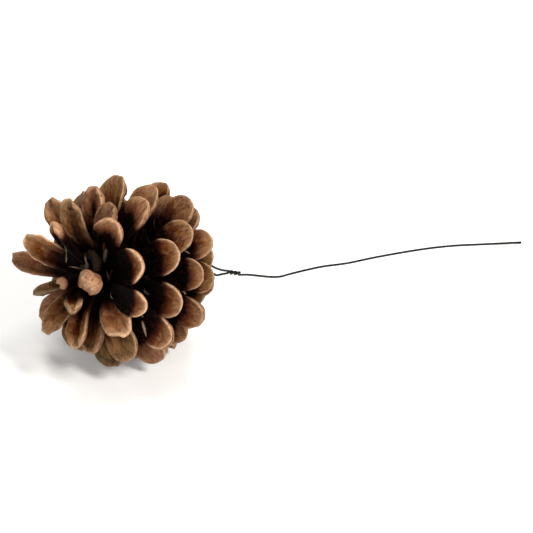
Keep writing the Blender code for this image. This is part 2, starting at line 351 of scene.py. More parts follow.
def makeFibreGroup():
    # streaks, mottling and flecks from a vector in mm whose Y runs along the fibres; the height is that of
    # the fibres and the grain, less the flecks
    form = fibreForm
    takes = [("Place", "Vector", None), ("Fineness", "Float", 1.0)]
    gives = [("Fibre", "Float"), ("Mottle", "Float"), ("Fleck", "Float"), ("Height", "Float")]
    tree, given, result = newGroup("woodFibre", takes, gives)
    scaled = addNode(tree, "VectorMath", {0: given["Place"], 3: given["Fineness"]}, operation="SCALE")
    place = scaled.outputs[0]
    streak, thin, mottle = [patternOf(tree, place, *form[key]) for key in ("streak", "thin", "mottle")]
    grain = noiseOf(tree, place, *form["grain"])
    pores = addNode(tree, "TexVoronoi", {"Vector": place, "Scale": form["poreScale"], "Randomness": 1.0})
    fibre = sums(tree, "MULTIPLY_ADD", streak, 1 - form["thinShare"], times(tree, thin, form["thinShare"]))
    near = spread(tree, pores.outputs["Distance"], *form["poreEdge"], 1.0, 0.0)
    fleck = times(tree, near, spread(tree, mottle, *form["poreWhere"]))
    height = sums(tree, "MULTIPLY_ADD", fibre, form["heights"][0], times(tree, grain, form["heights"][1]))
    feed(tree, result, {"Fibre": fibre, "Mottle": mottle, "Fleck": fleck,
                        "Height": sums(tree, "SUBTRACT", height, fleck)})
    return tree


def makeDustGroup():
    # pale dust and weathering laid over a colour, more where the noise is high: mask = noise * amount
    takes = [("Colour", "Color", (0.5, 0.5, 0.5, 1)), ("Dust", "Color", paint(190, 176, 158)),
             ("Amount", "Float", 0.2), ("Place", "Vector", None), ("Size", "Float", 1.0)]
    tree, given, result = newGroup("weathering", takes, [("Colour", "Color"), ("Mask", "Float")])
    cloud = noiseOf(tree, given["Place"], given["Size"], 5.0, 0.7, 0.5)
    mask = times(tree, spread(tree, cloud, 0.42, 0.7), given["Amount"], clamped=True)
    feed(tree, result, {"Colour": mixColours(tree, mask, given["Colour"], given["Dust"]), "Mask": mask})
    return tree


woodFibre = makeFibreGroup()
weathering = makeDustGroup()

woodLook = {
    "upperStops": [  # share of the way from the tip to the dark root, on the face that looks to the apex; the near-black stops are painted shade of the cone's interior
        (0.0, paint(160, 127, 102)),
        (0.24, paint(142, 101, 71)),
        (0.42, paint(112, 60, 25)),
        (0.58, paint(80, 26, 9)),
        (0.72, paint(38, 8, 5)),
        (0.90, paint(5, 1, 1)),
    ],
    # the same on the underside, whose near-black root end is also painted shade
    "underStops": [
        (0.0, paint(150, 113, 86)),
        (0.30, paint(132, 90, 59)),
        (0.48, paint(102, 54, 25)),
        (0.66, paint(60, 22, 8)),
        (1.0, paint(7, 2, 2)),
    ],
    # the pale border: the edge's own colour, partly painted highlight
    "rimAndHighlight": paint(210, 174, 143),
    "pink": paint(172, 129, 109),
    "olive": paint(104, 92, 60),
    "fleck": paint(58, 32, 16),
    "spot": paint(64, 32, 15),
    "umbo": paint(84, 58, 42),
    "worn": paint(162, 126, 92),
    "crack": paint(30, 12, 7),
    "streakStops": [(0.34, paint(122, 106, 92)), (0.48, paint(226, 219, 211)), (0.66, paint(255, 255, 252))],
    "blotchStops": [(0.36, paint(146, 116, 84)), (0.54, paint(252, 250, 248))],
    "streakShare": 0.75,  # of both
    "depthShifts": (0.45, 0.35),  # how far the mottling and the fibres shift the colour to or from the root's
    "outerPart": (0.35, 0.8),  # of the depth: only the part outside it is tinted, worn and dusty
    # as the noises of the fibres
    "speckle": ((0.9, 0.5, 1.0), 1.0, 2.0, 0.55, 1.2),
    "wear": ((0.9, 0.5, 1.0), 0.45, 2.0, 0.5, 0.8),
    # between which values of their noise the marks come in; the next two scale the pale rim with its painted
    # highlight, and the umbo
    "spotEdge": (0.56, 0.64),
    "wearEdge": (0.48, 0.62),
    "crackWhere": (0.46, 0.55),
    "rimSpeckle": (0.4, 0.62, 1.0, 0.35),
    "umboSpeckle": (0.35, 0.6, 0.9, 0.6),
    "spotShare": 0.8,
    "wornShare": 0.42,
    "fleckShare": 0.7,
    "crackShare": 0.9,
    "crackStretch": (0.62, 0.16, 1.0),
    "crackWidth": 0.07,
    "crackHeight": 1.6,
    "dust": 0.10,
    "dustSize": 1.4,
    "saturation": 1.1,
    "roughness": (0.3, 0.7, 0.72, 0.52),  # from the first two of the fibres to the last two
    "gloss": 0.05,
    "bump": (0.7, 0.00014),  # strength and distance in m
}


def makeScaleWood():
    # tan at the tip to dark at the root, the wood's own dark red-brown deepened by painted shade, shifted by
    # mottling and fibres; then the tints, streaks, blotches, spots, wear, flecks, cracks, pale rim with its
    # painted highlight and umbo are laid over it in turn
    look = woodLook
    material, tree, shader = newMaterial("scaleWood", gloss=look["gloss"])
    grain = attributeOf(tree, "grain", "Vector")
    wood = placeGroup(tree, woodFibre, {"Place": grain, "Fineness": 1.0})
    depth = attributeOf(tree, "depth")
    for name, shift in zip(("Mottle", "Fibre"), look["depthShifts"]):
        depth = sums(tree, "MULTIPLY_ADD", sums(tree, "SUBTRACT", wood[name], 0.5), shift, depth)
    upper, under = rampOf(tree, depth, look["upperStops"]), rampOf(tree, depth, look["underStops"])
    colour = mixColours(tree, attributeOf(tree, "under"), upper, under)
    outer = spread(tree, depth, *look["outerPart"], 1.0, 0.0)
    tint = attributeOf(tree, "tint")
    for name, amount in (("pink", tint), ("olive", times(tree, tint, -1.0))):
        colour = mixColours(tree, times(tree, sums(tree, "MAXIMUM", amount, 0.0), outer), colour, look[name])
    for name, stops in (("Fibre", "streakStops"), ("Mottle", "blotchStops")):
        streaks = rampOf(tree, wood[name], look[stops])
        colour = mixColours(tree, look["streakShare"], colour, streaks, "MULTIPLY")
    speckle = patternOf(tree, grain, *look["speckle"])
    spots = times(tree, spread(tree, speckle, *look["spotEdge"]), attributeOf(tree, "spots"))
    worn = times(tree, spread(tree, patternOf(tree, grain, *look["wear"]), *look["wearEdge"]), outer)
    longCells = {"Vector": stretched(tree, grain, look["crackStretch"]), "Scale": 1.0}
    toEdge = addNode(tree, "TexVoronoi", longCells, feature="DISTANCE_TO_EDGE").outputs["Distance"]
    crack = times(tree, spread(tree, toEdge, 0.0, look["crackWidth"], 1.0, 0.0),
                  spread(tree, wood["Mottle"], *look["crackWhere"]))
    crack = times(tree, crack, attributeOf(tree, "cracked"))
    # the pale rim with its painted highlight
    rimAndHighlight = times(tree, attributeOf(tree, "rimAndHighlight"), spread(tree, speckle, *look["rimSpeckle"]), clamped=True)
    laid = {
        "spot": times(tree, spots, look["spotShare"]),
        "worn": times(tree, worn, look["wornShare"]),
        "fleck": times(tree, wood["Fleck"], look["fleckShare"]),
        "crack": times(tree, crack, look["crackShare"]),
        "rimAndHighlight": rimAndHighlight,
        "umbo": times(tree, attributeOf(tree, "umbo"), spread(tree, speckle, *look["umboSpeckle"])),
    }
    for name, share in laid.items():
        colour = mixColours(tree, share, colour, look[name])
    dusty = placeGroup(tree, weathering, {"Colour": colour, "Amount": times(tree, outer, look["dust"]),
                                          "Place": grain, "Size": look["dustSize"]})
    shaded = addNode(tree, "HueSaturation", {"Saturation": look["saturation"], "Color": dusty["Colour"],
                                             "Value": attributeOf(tree, "shade")})
    height = sums(tree, "SUBTRACT", wood["Height"], times(tree, crack, look["crackHeight"]))
    feed(tree, shader, {"Base Color": shaded.outputs[0], "Normal": bumpOf(tree, height, *look["bump"]),
                        "Roughness": spread(tree, wood["Fibre"], *look["roughness"])})
    return material


scaleWood = makeScaleWood()
print("stage: wood materials")


# the scales

scaleForm = {
    "count": 96,
    # (scale number, height up the axis, radius) in mm: where the tips lie
    "envelope": [(0, 2.2, 6.5), (8, 4.6, 12.5), (13, 6.4, 18.0), (18, 8.4, 22.5), (32, 13.2, 26.1),
                 (47, 21.6, 28.5), (62, 34.2, 27.6), (77, 49.5, 21.0), (86, 57.5, 16.0), (87, 41.5, 7.0),
                 (95, 40.0, 2.5)],
    "goldenAngle": -137.83,
    "spiralStart": 2.6,
    "disorder": (3.0, 0.5, 7.0, 0.06),  # turn, rise, roll, width
    "disorderSeed": 11,
    # scales off the rule: (turn in degrees, rise, reach in mm)
    "leaning": {
        8: (1, 0.1, -0.2), 16: (-2, 0.5, -2.2), 21: (-1, 0.6, -0.8), 26: (4, -0.9, 0), 28: (-1, 0, -3.1),
        29: (0, 1.2, -2.2), 31: (-2, -2.2, 1.1), 33: (-5, -4.2, -0.6), 34: (0, -0.5, 0.2),
        36: (-3, -2.9, 0.1), 37: (3, 0.7, -1.8), 39: (0, -1.4, 0.8), 41: (-4, 0.2, -2.9),
        42: (0, 1.7, -1.8), 44: (-4, -2.5, 0.5), 45: (-1, -0.3, -1), 47: (4, 0.5, -1.4),
        49: (0, -0.5, 0.6), 50: (4, -3.6, -0.7), 52: (5, -1.8, 1.2), 53: (0, 0, 1.2), 54: (-1, -0.8, 0.4),
        55: (4, -3.5, 1.5), 57: (7, -0.3, 2.4), 58: (2, -1.1, 0.1), 60: (-4, 1.8, -0.4), 61: (0, 0, -4),
        62: (-5, 0.7, -4.4), 63: (3, -3.4, -0.1), 65: (-7, -2.1, 0.5), 66: (2, -1.1, 0),
        67: (-7, -4.7, 0.6), 68: (-1, -1.8, 1.7), 69: (-2, -1.9, -3.4), 70: (-4, -2.8, 0.5),
        71: (5, -3.5, -0.8), 72: (-8, -1.4, 3.3), 73: (3, 3.6, -2.3), 74: (3, -1.1, 0.2),
        75: (1, -0.1, 1.9), 76: (-3, 1.4, 1), 77: (3, 3.1, 1.2), 79: (-1, -0.9, -1.9), 81: (0, 0.6, -0.5),
        82: (6, -4.4, -2.3), 83: (6, 0.3, 1.9), 85: (-7, -2.9, -0.4), 86: (-3, -0.1, 0.3),
    },
    # roll in degrees, and width and thickness as shares of the rule's
    "shaped": {
        3: (0, 1.5, 1.3), 8: (0, 1.6, 1.3), 31: (0, 0.87, 1), 33: (30, 0.9, 1), 41: (25, 0.85, 1),
        42: (-20, 1, 1), 44: (0, 0.93, 1), 49: (25, 0.85, 1), 50: (-15, 1.2, 1), 54: (10, 1, 1),
        55: (-10, 1, 1), 57: (5, 1, 1), 58: (-20, 1.1, 1), 60: (0, 0.85, 1), 62: (0, 1, 1),
        63: (-20, 1, 1), 66: (-25, 1, 1), 67: (25, 0.88, 1), 68: (-50, 1.05, 1), 69: (0, 0.8, 1),
        70: (40, 1.1, 1), 71: (-30, 1, 1), 72: (20, 1, 1), 73: (50, 0.9, 2), 74: (-15, 1.2, 1),
        75: (45, 0.82, 1), 76: (-50, 0.9, 1), 77: (0, 0.85, 1), 79: (-42, 0.92, 1), 81: (-90, 0.8, 1),
        82: (30, 0.5, 1), 83: (20, 0.75, 1), 85: (25, 1.3, 1), 86: (40, 0.7, 0.6),
    },
    "brokenOff": (78, 80, 84),
    "stub": 0.55,
    # by scale number
    "lean": [(0, 104), (32, 100), (52, 90), (65, 80), (68, 75), (72, 58), (77, 50), (86, 34), (95, 14)],
    "width": [(0, 4.4), (8, 6.4), (18, 9.4), (32, 10.8), (65, 10.6), (68, 8.8), (77, 7.8), (86, 5.4),
              (95, 2.4)],
    "thickness": [(0, 1.5), (32, 3.0), (68, 3.0), (86, 2.2), (95, 1.1)],
    "rootRadius": [(0, 2.4), (60, 2.4), (77, 1.4), (95, 0.6)],
    "finger": [(0, 0.0), (57, 0.0), (67, 0.8), (72, 1.0), (95, 1.0)],
    "bow": [(0, 0.06), (18, 0.12), (47, 0.17), (62, 0.17), (68, 0.10), (86, 0.08), (95, 0.05)],
    # by the share of a scale's length
    "spread": [(0.0, 0.30), (0.3, 0.42), (0.55, 0.70), (0.72, 0.96), (0.80, 1.0), (1.2, 1.0)],
    "fingerSpread": [(0.0, 0.1), (0.3, 0.40), (0.55, 0.24), (0.78, 0.0)],
    "depth": [(0.0, 0.9), (0.3, 0.55), (0.6, 0.55), (0.87, 1.0), (0.96, 0.95), (1.0, 0.8)],
    "tipStart": 0.78,
    "tipBluntness": 2.6,
    "end": 1.016,
    # a chisel end: where its shoulders start and end, and how wide it is there
    "shoulderStart": (0.83, 0.88),
    "shoulderEnd": (0.96, 0.985),
    "chiselTop": (0.42, 0.58),
    "fingerChisel": 0.75,
    "rows": 50,
    "columns": 48,
    "crowding": 1.7,  # how much closer the rows stand towards the tip
    "faceShare": 0.28,  # of the thickness, above the middle line
    "sectionPowers": (0.9, 0.7, 0.85),  # sideways, upper face, underside: under 1 is squarer than an ellipse
    "thinning": (0.90, 2.4),  # the share of the length where the tip starts to thin, and the power
    "dish": 0.22,
    "outerPart": (0.35, 0.62),  # where the lip and the swells come in
    # from here on in mm, but for the shares of the half width or length
    "ridge": 0.9,
    "ridgePeak": (0.62, 0.12, 0.26),  # where across the half width, how much that differs, the inner slope
    "lip": 0.22,
    "fingerLip": 0.1,
    "lipWidth": 0.55,
    "swells": [(2.4, 3.2, 0.16, 100), (0.9, 2.1, 0.07, 200)],  # across, along, height, first seed
    "ribs": (0.42, 6.0, 0.05, 300),
    "umbo": 0.5,
    "umboPlace": 0.905,
    "umboSize": (1.25, 0.85),
    "umboRing": (0.14, 1.45, 0.28),  # height, radius and width, the last two as shares of the boss
    "keel": (0.4, 0.5),  # height and width
    "wave": 0.16,
    "waves": [(3.6, 1.0, 3.5, 400), (9, 0.6, 7.5, 430)],  # how often round the tip, share, lattice row, seed
    "torn": 0.9,
    # what a scale draws that scaleLooks says nothing of; the last is a bud's share of the drawn shade,
    # painted shade that sinks the apex bud into the dark hollow
    "drawnTint": (-0.35, 0.35),
    "drawnShade": (0.9, 1.08),
    "drawnCracks": (0.2, 0.4, 0.8),
    "drawnTan": (0.92, 1.08),
    "drawnSpots": (0.25, 0.3),
    "budShade": 0.1,
    # how far the tan reaches from the tip before the root's dark, in mm; that dark is partly the wood's own
    # and partly painted shade
    "tanReach": [(0, 5.0), (20, 6.5), (52, 7.0), (58, 9.0), (66, 10.0), (68, 18.0), (86, 18.0), (87, 4.0),
                 (95, 4.0)],
}


# what single scales show of their own, by scale number; the others draw theirs
scaleLooks = {
    # how far the tan reaches from the tip before the wood's own dark and the painted shade at the root, in mm
    "tan": {10: 7, 15: 8, 23: 12, 26: 7, 28: 11, 31: 9, 34: 9, 36: 13, 39: 6.5, 41: 14, 42: 9, 44: 12,
            47: 8.5, 49: 17, 50: 10, 52: 8.5, 54: 17, 55: 8, 57: 9, 58: 17, 60: 6, 62: 20, 63: 14.5,
            65: 6.5, 67: 16, 68: 24, 70: 9, 71: 16, 72: 20, 73: 14, 75: 24, 76: 17, 77: 22, 79: 20, 81: 10,
            83: 8, 85: 17, 86: 8},
    # from olive, -1, to pink, 1
    "tint": {10: 0.2, 12: 0.4, 23: 0.1, 26: -0.2, 28: 0.5, 31: 0.2, 34: 0.15, 36: 0.15, 37: 0.4, 39: 0.3,
             41: 0.1, 42: -0.2, 44: 0.1, 47: 0.1, 49: 0.15, 50: 0.7, 52: 0.05, 55: 0.1, 57: 0.35, 58: -0.6,
             60: 0.3, 63: -0.45, 65: 0.1, 66: -0.3, 67: 0.25, 68: 0.2, 70: 0.5, 71: -0.1, 72: 0.2, 73: 0.6,
             74: 0.9, 75: -0.35, 76: 0, 77: 0.5, 79: -0.3, 81: -0.1, 82: -0.8, 83: 0.2, 85: 0, 86: 1},
    # a scale's brightness; 0.04 on the broken stubs 78, 80 and 84 is painted shade that sinks them into the
    # dark hollow
    "shade": {28: 0.92, 31: 0.95, 34: 0.92, 37: 0.9, 39: 0.92, 50: 1, 57: 1.02, 58: 0.85, 63: 0.92, 65: 1.1,
              66: 0.9, 68: 1.04, 70: 1.24, 71: 0.95, 73: 1, 77: 0.95, 78: 0.04, 79: 1.03, 80: 0.04,
              81: 0.92, 82: 0.8, 83: 1.28, 84: 0.04, 85: 1.1, 86: 0.72},
    "cracked": {23: 1, 36: 1, 42: 0.8, 44: 1, 54: 1, 55: 0.8, 58: 1, 62: 1, 63: 0.8, 66: 1, 67: 0.8,
                70: 0.2, 71: 0.9, 75: 1, 76: 0.9, 81: 1, 82: 1},
    "spots": {36: 1, 41: 0.8, 44: 1, 49: 0.6, 54: 1, 58: 1, 62: 1, 66: 1, 75: 0.8, 81: 1},
    # how pale the border is: its own pale edge with a painted highlight over it
    "rimAndHighlight": {47: 1.3, 52: 1.2, 55: 1.3, 60: 1.3, 62: 0.2, 65: 1.4, 68: 1.2, 85: 1.4},
    # share of the chisel end in the outline
    "chisel": {49: 0.4, 54: 0.6, 67: 0.8, 68: 1, 70: 0.2, 73: 0.3, 74: 1, 79: 1},
    # how dark and narrow the middle of a finger is
    "groove": {58: 0.3, 67: 0.45, 71: 0.2, 76: 0.2, 79: 0.2},
    "ridge": {57: 1},
    "dish": {73: -0.5},
}


def planScales():
    # the same rule and the same seeded draws as the solids: a tip stands at its height and radius on the
    # envelope, turned by the golden angle times its number, and its root where its lean meets the axis
    draw = random.Random(scaleForm["disorderSeed"])
    turnBy, riseBy, rollBy, widthBy = scaleForm["disorder"]
    plans = []
    for number in range(scaleForm["count"]):
        drawn = (draw.uniform(-1, 1) * turnBy, draw.uniform(-1, 1) * riseBy, 0)
        swing, rise, reach = scaleForm["leaning"].get(number, drawn)
        height = knots([(n, h) for n, h, r in scaleForm["envelope"]], number) + rise
        radius = knots([(n, r) for n, h, r in scaleForm["envelope"]], number) + reach
        rootRadius = knots(scaleForm["rootRadius"], number)
        rootHeight = height - (radius - rootRadius) / math.tan(math.radians(knots(scaleForm["lean"], number)))
        broken = number in scaleForm["brokenOff"]
        roll, wider, thicker = scaleForm["shaped"].get(number, (0, 1, 1))
        kept = scaleForm["stub"] if broken else 1.0
        plans.append({
            "number": number,
            "broken": broken,
            "turn": math.radians(scaleForm["spiralStart"] + scaleForm["goldenAngle"] * number + swing),
            "root": (rootRadius, rootHeight),
            "tip": (rootRadius + (radius - rootRadius) * kept, rootHeight + (height - rootHeight) * kept),
            "width": knots(scaleForm["width"], number) * (1 + draw.uniform(-1, 1) * widthBy) * wider,
            "thick": knots(scaleForm["thickness"], number) * thicker,
            "finger": knots(scaleForm["finger"], number),
            "bow": knots(scaleForm["bow"], number),
            "roll": math.radians(draw.uniform(-1, 1) * rollBy + roll),
        })
    return plans


def scaleOutline(share, side, plan, look):
    # half width as a share of the most: runs up the stalk, then a superellipse end, or a chisel end of
    # straight runs whose two shoulders differ; which one a point takes is the sign of side
    form = scaleForm
    stalk = softKnots(form["spread"], share) + plan["finger"] * softKnots(form["fingerSpread"], share)
    past = np.clip((share - form["tipStart"]) / (form["end"] - form["tipStart"]), 0, 1)
    rounded = np.sqrt(np.clip(1 - past ** form["tipBluntness"], 0, 1))
    draw = random.Random(500 + plan["number"])
    shoulders = []
    for _ in range(2):
        low, high, wide = [draw.uniform(*form[key]) for key in ("shoulderStart", "shoulderEnd", "chiselTop")]
        runs = [(0, 1), (low, 1), (high, wide), (form["end"] - 0.004, wide * 0.8), (form["end"] + 0.004, 0.0)]
        shoulders.append(softKnots(runs, share, 0.006))
    chiselled = np.where(side > 0, shoulders[0], shoulders[1])
    chisel = look.get("chisel", form["fingerChisel"] * plan["finger"])
    return stalk * (rounded * (1 - chisel) + chiselled * chisel)


def middleLine(plan, share):
    # start * (1-s)^2 + middle * 2s(1-s) + end * s^2, with the middle pushed off the chord by the bow
    outward = np.array([math.cos(plan["turn"]), math.sin(plan["turn"]), 0])
    upward = np.array([0.0, 0.0, 1.0])
    sideways = np.cross(upward, outward)
    start = outward * plan["root"][0] + upward * plan["root"][1]
    end = outward * plan["tip"][0] + upward * plan["tip"][1]
    middle = (start + end) / 2 - np.cross(sideways, end - start) * 2 * plan["bow"]
    centre = start * (1 - share) ** 2 + middle * 2 * share * (1 - share) + end * share**2
    forward = (middle - start) * (1 - share) + (end - middle) * share
    forward /= np.linalg.norm(forward, axis=1, keepdims=True)
    return centre, forward, sideways, np.linalg.norm(end - start) * 1.08


def scaleSurface(plan):
    # a point is middle line + side * across * half width + normal * height; the middle line is a quadratic
    # curve, the section a flattened ring that is hollow above, and soft bumps are added to the height
    form, number, broken = scaleForm, plan["number"], plan["broken"]
    look = {name: values[number] for name, values in scaleLooks.items() if number in values}
    step = np.linspace(0, 1, form["rows"])[:, None]
    share = step if broken else form["end"] * (1 - (1 - step) ** form["crowding"])
    angle = 2 * np.pi * (np.arange(form["columns"])[None, :] + 0.5) / form["columns"]
    around, rising = np.cos(angle) + 0 * share, np.sin(angle) + 0 * share
    sidePower, topPower, underPower = form["sectionPowers"]
    across = np.sign(around) * np.abs(around) ** sidePower
    toRim = np.abs(across)

    centre, forward, sideways, length = middleLine(plan, share)
    roll = plan["roll"] * share
    side = sideways * np.cos(roll) + np.cross(forward, sideways) * np.sin(roll)
    normal = np.cross(forward, side)

    # the plain section
    thick = plan["thick"] * softKnots(form["depth"], share, 0.03)
    if broken:
        half = knots(form["spread"], share) + plan["finger"] * knots(form["fingerSpread"], share) + 0 * around
    else:
        half = scaleOutline(share + 0 * around, across, plan, look)
        thinFrom, thinPower = form["thinning"]
        past = np.clip((share - thinFrom) / (form["end"] - thinFrom), 0, 1)
        thick = thick * np.sqrt(np.clip(1 - past**thinPower, 0, 1))
    half = plan["width"] / 2 * half
    above = rising > 0
    height = np.where(above, thick * form["faceShare"] * np.abs(rising) ** topPower,
                      -thick * (1 - form["faceShare"]) * np.abs(rising) ** underPower)
    height = height + look.get("dish", form["dish"]) * half * (across**2 - 0.5)

    # distances in mm along the scale, across it, and to its border
    place = across * half
    run = share * length + 0 * around
    toSide = half * (1 - toRim)
    toEnd = (form["end"] - share) * length + 0 * around
    border = 1 / (1 / (toSide + 0.02) + 1 / (toEnd + 0.02))
    outer = easeBetween(share, *form["outerPart"])

    # a ridge along either side of a finger, and the lip along the border
    ridge = form["ridge"] * look.get("ridge", plan["finger"]) * easeBetween(share, 0.2, 0.5)
    peak, differs, inner = form["ridgePeak"]
    peak = peak + differs * math.sin(number * 2.3) * np.sign(across)
    slope = np.clip((toRim - peak + inner) / inner, 0, 1)
    slope = np.where(toRim < peak, slope**2 * (3 - 2 * slope), 1 - 0.65 * (toRim - peak) / (1 - peak))
    ridge = ridge * easeBetween(toEnd, 0.0, 2.5)
    height = height + ridge * np.where(above, slope, 0.35 * np.exp(-toSide / 0.4))
    lip = (form["lip"] + form["fingerLip"] * plan["finger"]) * outer
    lip = lip * (1 + 0.4 * softSteps(run / 2.3, across * 2 + 9, 900 + number))
    reach = np.where(above, form["lipWidth"] + 0.25 * plan["finger"], 0.3)
    height = height + lip * np.exp(-((border / reach) ** 2)) * easeBetween(toEnd, 0.0, 0.5)

    # swells, fine ribs, and under the tip the umbo with its ring and keel
    for wide, long, swell, seed in form["swells"]:
        height = height + softSteps(place / wide + 20, run / long, seed + number) * swell * outer
    wide, long, rib, seed = form["ribs"]
    height = height + softSteps(place / wide + 40, run / long, seed + number) * rib * np.abs(rising)
    fromUmbo = (share - form["umboPlace"]) * length
    toUmbo = np.sqrt((place / form["umboSize"][0]) ** 2 + (fromUmbo / form["umboSize"][1]) ** 2)
    under = np.where(above, 0, np.abs(rising))
    height = height - under * form["umbo"] * plan["width"] / 10 * np.exp(-(toUmbo**2))
    ringHeight, ringRadius, ringWidth = form["umboRing"]
    height = height + under * ringHeight * np.exp(-(((toUmbo - ringRadius) / ringWidth) ** 2))
    keelHeight, keelWidth = form["keel"]
    height = height - under * keelHeight * np.exp(-((fromUmbo / keelWidth) ** 2)) * (1 - toRim**2)
    umbo = under * np.clip(1.3 * np.exp(-(toUmbo**4)), 0, 1)

    # waves push the border in and out, and a broken end is torn
    heading = np.arctan2(place, (share - 0.72) * length)
    push = form["wave"] * np.exp(-border / 0.7) * easeBetween(share, 0.45, 0.7)
    push = push * sum(part * softSteps(heading * often + 30, 0 * share + row, seed + number)
                      for often, part, row, seed in form["waves"])
    place = place + push * np.sin(heading)
    ahead = push * np.cos(heading)
    if broken:
        torn = softSteps(place / 0.7 + 12, 0 * share + 2.5, 600 + number)
        torn = torn + 0.8 * softSteps(place / 0.25 + 12, height / 0.3 + 9, 610 + number)
        ahead = form["torn"] * torn * easeBetween(share, 0.85, 1.0)

    grid = centre[:, None, :] + side[:, None, :] * place[..., None] + normal[:, None, :] * height[..., None]
    grid = grid + forward[:, None, :] * ahead[..., None]

    # what the wood's material reads at each point
    draw = random.Random(700 + number)
    tint = look.get("tint", draw.uniform(*form["drawnTint"]))
    # the apex bud's scales get painted shade that sinks them into the dark hollow
    shade = look.get("shade", draw.uniform(*form["drawnShade"]) * (form["budShade"] if number > 86 else 1.0))
    cracked = look.get("cracked", draw.choice(form["drawnCracks"]))
    tan = look.get("tan", knots(form["tanReach"], number) * draw.uniform(*form["drawnTan"]))
    least, more = form["drawnSpots"]
    groove = look.get("groove", 0.10)
    # share of the way from the tip to the root's dark, which the material paints as the wood's own dark with
    # painted shade
    depth = np.clip(toEnd / tan, 0, 1.3)
    depth = depth + groove * np.exp(-((place / (1.76 - 1.6 * groove)) ** 2)) * easeBetween(toEnd, 2.0, 6.0)
    if broken:
        depth = np.clip(0.5 + (1 - share) * 0.6 + 0 * around - 0.3 * easeBetween(share, 0.95, 1.0), 0, 1.3)
    # the pale border with its painted highlight: stronger on the upper face, and fading towards the shaded
    # root
    rimAndHighlight = np.exp(-((border / 0.42) ** 1.5)) * np.where(above, 1.0, 0.6) * (1 - easeBetween(depth, 0.35, 0.8))
    values = {
        "depth": depth,
        "rimAndHighlight": rimAndHighlight * look.get("rimAndHighlight", 0.65),
        "under": easeBetween(-rising, -0.1, 0.35),
        "tint": tint,
        "shade": shade,
        "cracked": cracked,
        "spots": look.get("spots", least + more * draw.random()),
        "umbo": umbo,
    }

    def atPoints(value):
        value = value + 0 * around
        return np.concatenate([[value[0].mean()], value.ravel(), [value[-1].mean()]])

    grain = np.stack([atPoints(place), atPoints(run), atPoints(number * 7.3 - 1.5 * rising)], -1)
    return toWorld(closedPoints(grid)), {key: atPoints(value) for key, value in values.items()}, grain


def makeScales(name, plans):
    # the surfaces of a run of scales in one mesh
    rows, columns = scaleForm["rows"], scaleForm["columns"]
    size = rows * columns + 2
    points, values, grains = zip(*[scaleSurface(plan) for plan in plans])
    quads, triangles = zip(*[closedFaces(rows, columns, order * size) for order in range(len(plans))])
    floats = {key: np.concatenate([value[key] for value in values]) for key in values[0]}
    piece = buildMesh(name, np.concatenate(points), np.concatenate(quads), np.concatenate(triangles), floats,
                      {"grain": np.concatenate(grains)})
    piece.data.materials.append(scaleWood)
    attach(piece, "root")
    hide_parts("cone")
    print("stage:", name, len(plans), "scales")


plans = planScales()
makeScales("baseScales", plans[:34])
makeScales("middleScales", plans[34:66])
makeScales("apexScales", plans[66:])


# scraps of papery seed wing between the scales

scrapForm = {
    # the ones in sight, in the cone's own frame: (start, end, width) in mm
    "seen": [
        ((-1.3, 7.7, 47.2), (-0.5, 11.9, 49.5), 0.5),
        ((-1.4, 7.7, 47.3), (-1.7, 4.0, 46.5), 0.45),
        ((0.3, 7.2, 41.9), (5.8, 6.3, 43.4), 0.5),
        ((2.6, 11.5, 36.5), (2.4, 5.4, 36.0), 1.2),
        ((2.7, 3.1, 35.0), (4.7, 1.0, 34.6), 0.6),
        ((4.7, 5.0, 43.2), (2.6, 6.4, 42.0), 1.2),
        ((19.6, -5.1, 29.7), (24.6, -7.7, 30.3), 0.8),
        ((17.6, 17.3, 19.5), (21.0, 17.8, 19.0), 0.45),
        ((-5.5, 0.3, 42.9), (-1.5, 1.6, 39.8), 0.4),
    ],
    "sown": 28,
    "sownOn": (12, 66),  # scale numbers
    "seed": 77,
    "rows": 18,
    "columns": 12,
    "thickness": 0.14,  # mm
    "bend": 0.12,
    "paperStops": [(0.3, paint(84, 64, 48)), (0.5, paint(122, 100, 80)), (0.7, paint(164, 144, 122))],
    "stain": paint(96, 66, 52),
    "bump": (0.5, 0.0001),
}


def planScraps():
    # (start, end, width, the side that its face looks to): the seen ones face the camera, and each sown one
    # rises a little from the inner part of a scale
    form = scrapForm
    tilt = math.radians(view["elevation"])
    toCamera = turned.T @ np.array([0, -math.cos(tilt), math.sin(tilt)])
    scraps = [(np.array(start), np.array(end), width, toCamera) for start, end, width in form["seen"]]
    draw = random.Random(form["seed"])
    for plan in draw.sample(plans[form["sownOn"][0]:form["sownOn"][1]], form["sown"]):
        share = draw.uniform(0.35, 0.5)
        ends = np.array([[share], [share + draw.uniform(0.12, 0.24)]])
        centre, _, sideways, _ = middleLine(plan, ends)
        beside = sideways * draw.uniform(-1.4, 1.4)
        start = centre[0] + beside + np.array([0, 0, 0.2])
        end = centre[1] + beside * 1.5 + np.array([0, 0, draw.uniform(0.9, 1.7)])
        scraps.append((start, end, draw.uniform(0.4, 1.2), np.array([0.0, 0.0, 1.0])))
    return scraps


